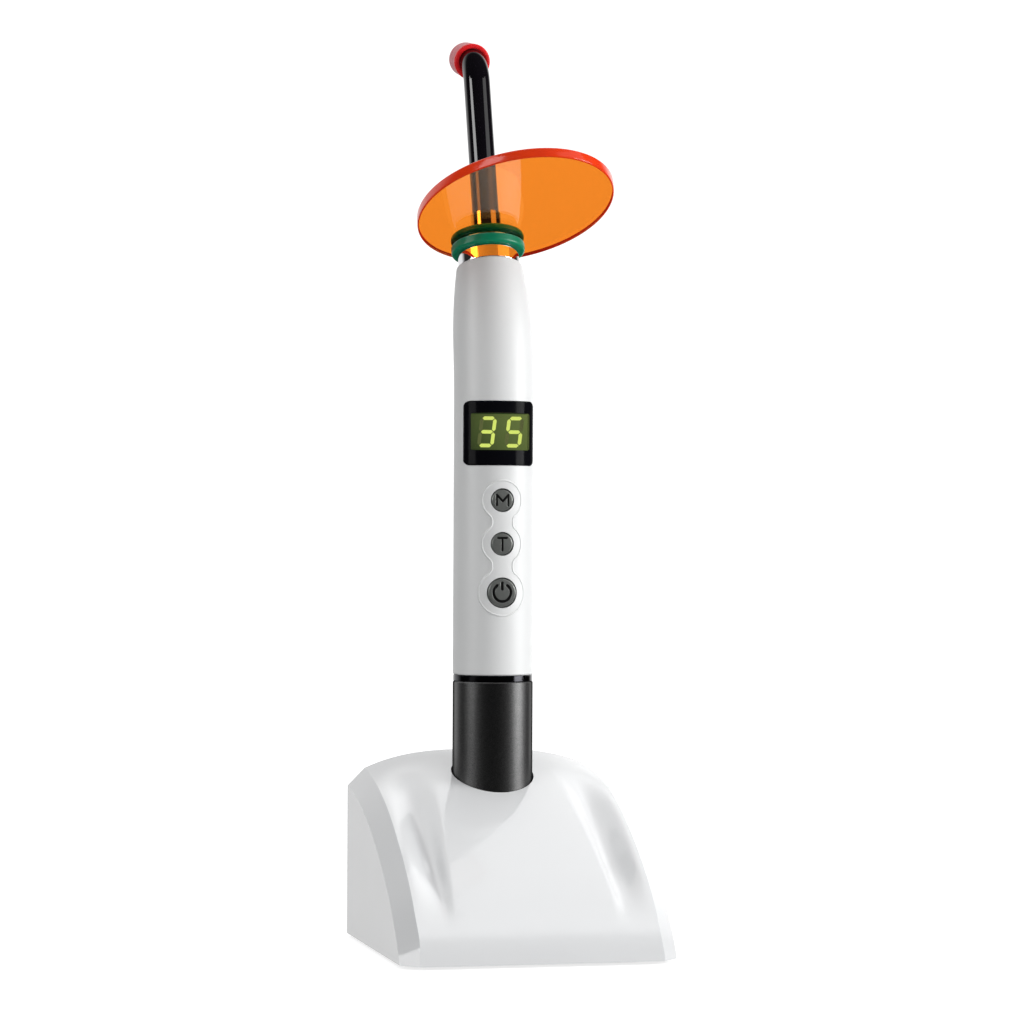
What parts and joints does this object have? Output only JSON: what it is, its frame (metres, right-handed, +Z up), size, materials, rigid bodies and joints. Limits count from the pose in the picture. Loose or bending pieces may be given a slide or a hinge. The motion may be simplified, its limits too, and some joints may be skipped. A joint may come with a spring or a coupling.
{
  "type": "dental curing light",
  "caption": "Cordless pen-shaped dental curing light with display, keypad, angled light guide and tinted oval eye shield, standing in a wedge-shaped charging base.",
  "frame": {"origin": "on the table under the middle of the base's footprint, in the plane of the anti-slip pad", "axes": "+Z up along the handle, -Y towards the front where the display and buttons face, +X to the right seen from the front"},
  "size_m": [0.084, 0.1128, 0.2871],
  "materials": {
    "base_white": "high-gloss moulded ABS",
    "plate_grey": "fine moulded texture",
    "pad_black": "matte rubber sheet",
    "screw_steel": "zinc-plated",
    "ballast_iron": "plain blackened",
    "board_green": "solder mask",
    "part_black": "moulded epoxy",
    "jack_black": "moulded nylon",
    "block_black": "moulded nylon",
    "contact_gold": "gold-flashed",
    "spring_steel": "drawn wire",
    "sleeve_black": "satin black metallic with fine sparkle",
    "cap_black": "moulded",
    "carrier_grey": "moulded",
    "cell_wrap": "heat-shrink film",
    "ring_black": "black mirror plating",
    "handle_white": "satin-gloss moulded ABS",
    "bezel_black": "piano black",
    "window_green": "tinted clear acrylic",
    "display_green": "two-digit light-emitting module",
    "key_grey": "metallic grey, recessed legends",
    "chassis_white": "moulded",
    "insert_metal": "turned",
    "lens_clear": "polished",
    "emitter_yellow": "phosphor dome",
    "oring_black": "nitrile",
    "ferrule_chrome": "mirror polished",
    "guide_black": "black glass cladding, polished",
    "fibre_clear": "fused fibre bundle",
    "grommet_green": "smooth silicone",
    "shield_orange": "clear tinted acrylic, polished edge",
    "tip_red": "translucent silicone"
  },
  "bodies": {
    "charging_base": {"base_shell": "base_white", "base_plate": "plate_grey", "anti_slip_pad": "pad_black", "base_screws": "screw_steel", "ballast_weight": "ballast_iron", "charger_board": "board_green", "charger_parts": "part_black", "dc_jack": "jack_black", "dock_contact_block": "block_black", "pin_springs": "spring_steel"},
    "charge_pins": {"charge_pins": "contact_gold"},
    "battery_pack": {"battery_sleeve": "sleeve_black", "battery_end_cap": "cap_black", "ring_contact": "contact_gold", "centre_contact": "contact_gold", "battery_carrier": "carrier_grey", "protection_board": "board_green", "battery_cell": "cell_wrap", "battery_top_cap": "cap_black", "battery_pole": "contact_gold"},
    "joint_ring": {"joint_ring": "ring_black"},
    "handpiece": {"handle_casing": "handle_white", "display_bezel": "bezel_black", "display_window": "window_green", "digit_display": "display_green", "main_board": "board_green", "tact_switches": "part_black", "board_chips": "part_black", "buzzer": "part_black", "inner_chassis": "chassis_white", "thread_insert": "insert_metal", "handle_contact_block": "block_black", "handle_contact": "contact_gold", "head_socket": "insert_metal", "collimator_lens": "lens_clear", "led_board": "insert_metal", "led_emitter": "emitter_yellow", "heat_sink": "insert_metal"},
    "mode_button": {"mode_button": "key_grey"},
    "time_button": {"time_button": "key_grey"},
    "power_button": {"power_button": "key_grey"},
    "guide_oring": {"guide_oring": "oring_black"},
    "light_guide": {"guide_ferrule": "ferrule_chrome", "guide_sheath": "guide_black", "fibre_core": "fibre_clear"},
    "shield_grommet": {"shield_grommet": "grommet_green"},
    "light_shield": {"light_shield": "shield_orange"},
    "tip_cap": {"tip_cap": "tip_red"}
  },
  "joints": [
    {"name": "pin_press", "type": "slide", "parent": "charging_base", "child": "charge_pins", "axis": [0, 0, -1], "range_m": [0, 0.001], "stiffness_N_per_m": 300, "deforming": ["pin_springs"]},
    {"name": "dock_lift", "type": "slide", "parent": "charging_base", "child": "battery_pack", "axis": [0, 0, 1], "range_m": [0, 0.06]},
    {"name": "thread_advance", "type": "slide", "parent": "battery_pack", "child": "joint_ring", "axis": [0, 0, 1], "range_m": [0, 0.008]},
    {"name": "thread_turn", "type": "hinge", "parent": "joint_ring", "child": "handpiece", "pos_m": [0, 0.0234, 0.09], "axis": [0, 0, 1], "range_deg": [0, 1440]},
    {"name": "mode_press", "type": "slide", "parent": "handpiece", "child": "mode_button", "axis": [0, 1, 0], "range_m": [0, 0.0005], "stiffness_N_per_m": 600},
    {"name": "time_press", "type": "slide", "parent": "handpiece", "child": "time_button", "axis": [0, 1, 0], "range_m": [0, 0.0005], "stiffness_N_per_m": 600},
    {"name": "power_press", "type": "slide", "parent": "handpiece", "child": "power_button", "axis": [0, 1, 0], "range_m": [0, 0.0005], "stiffness_N_per_m": 600},
    {"name": "guide_pull", "type": "slide", "parent": "handpiece", "child": "guide_oring", "axis": [0, 0.2924, 0.9563], "range_m": [0, 0.03]},
    {"name": "guide_turn", "type": "hinge", "parent": "guide_oring", "child": "light_guide", "pos_m": [0, 0.03086, 0.21083], "axis": [0, 0.2924, 0.9563], "continuous": true},
    {"name": "cap_pull", "type": "slide", "parent": "light_guide", "child": "tip_cap", "axis": [0, 0.9744, 0.225], "range_m": [0, 0.014]},
    {"name": "shield_slide", "type": "slide", "parent": "light_guide", "child": "shield_grommet", "axis": [0, 0.2924, 0.9563], "range_m": [0, 0.03]},
    {"name": "shield_turn", "type": "hinge", "parent": "shield_grommet", "child": "light_shield", "pos_m": [0, 0.03086, 0.21083], "axis": [0, 0.2924, 0.9563], "continuous": true}
  ],
  "couplings": [
    {"joint": "thread_advance", "follows": "thread_turn", "m_per_rad": 0.00031831}
  ]
}
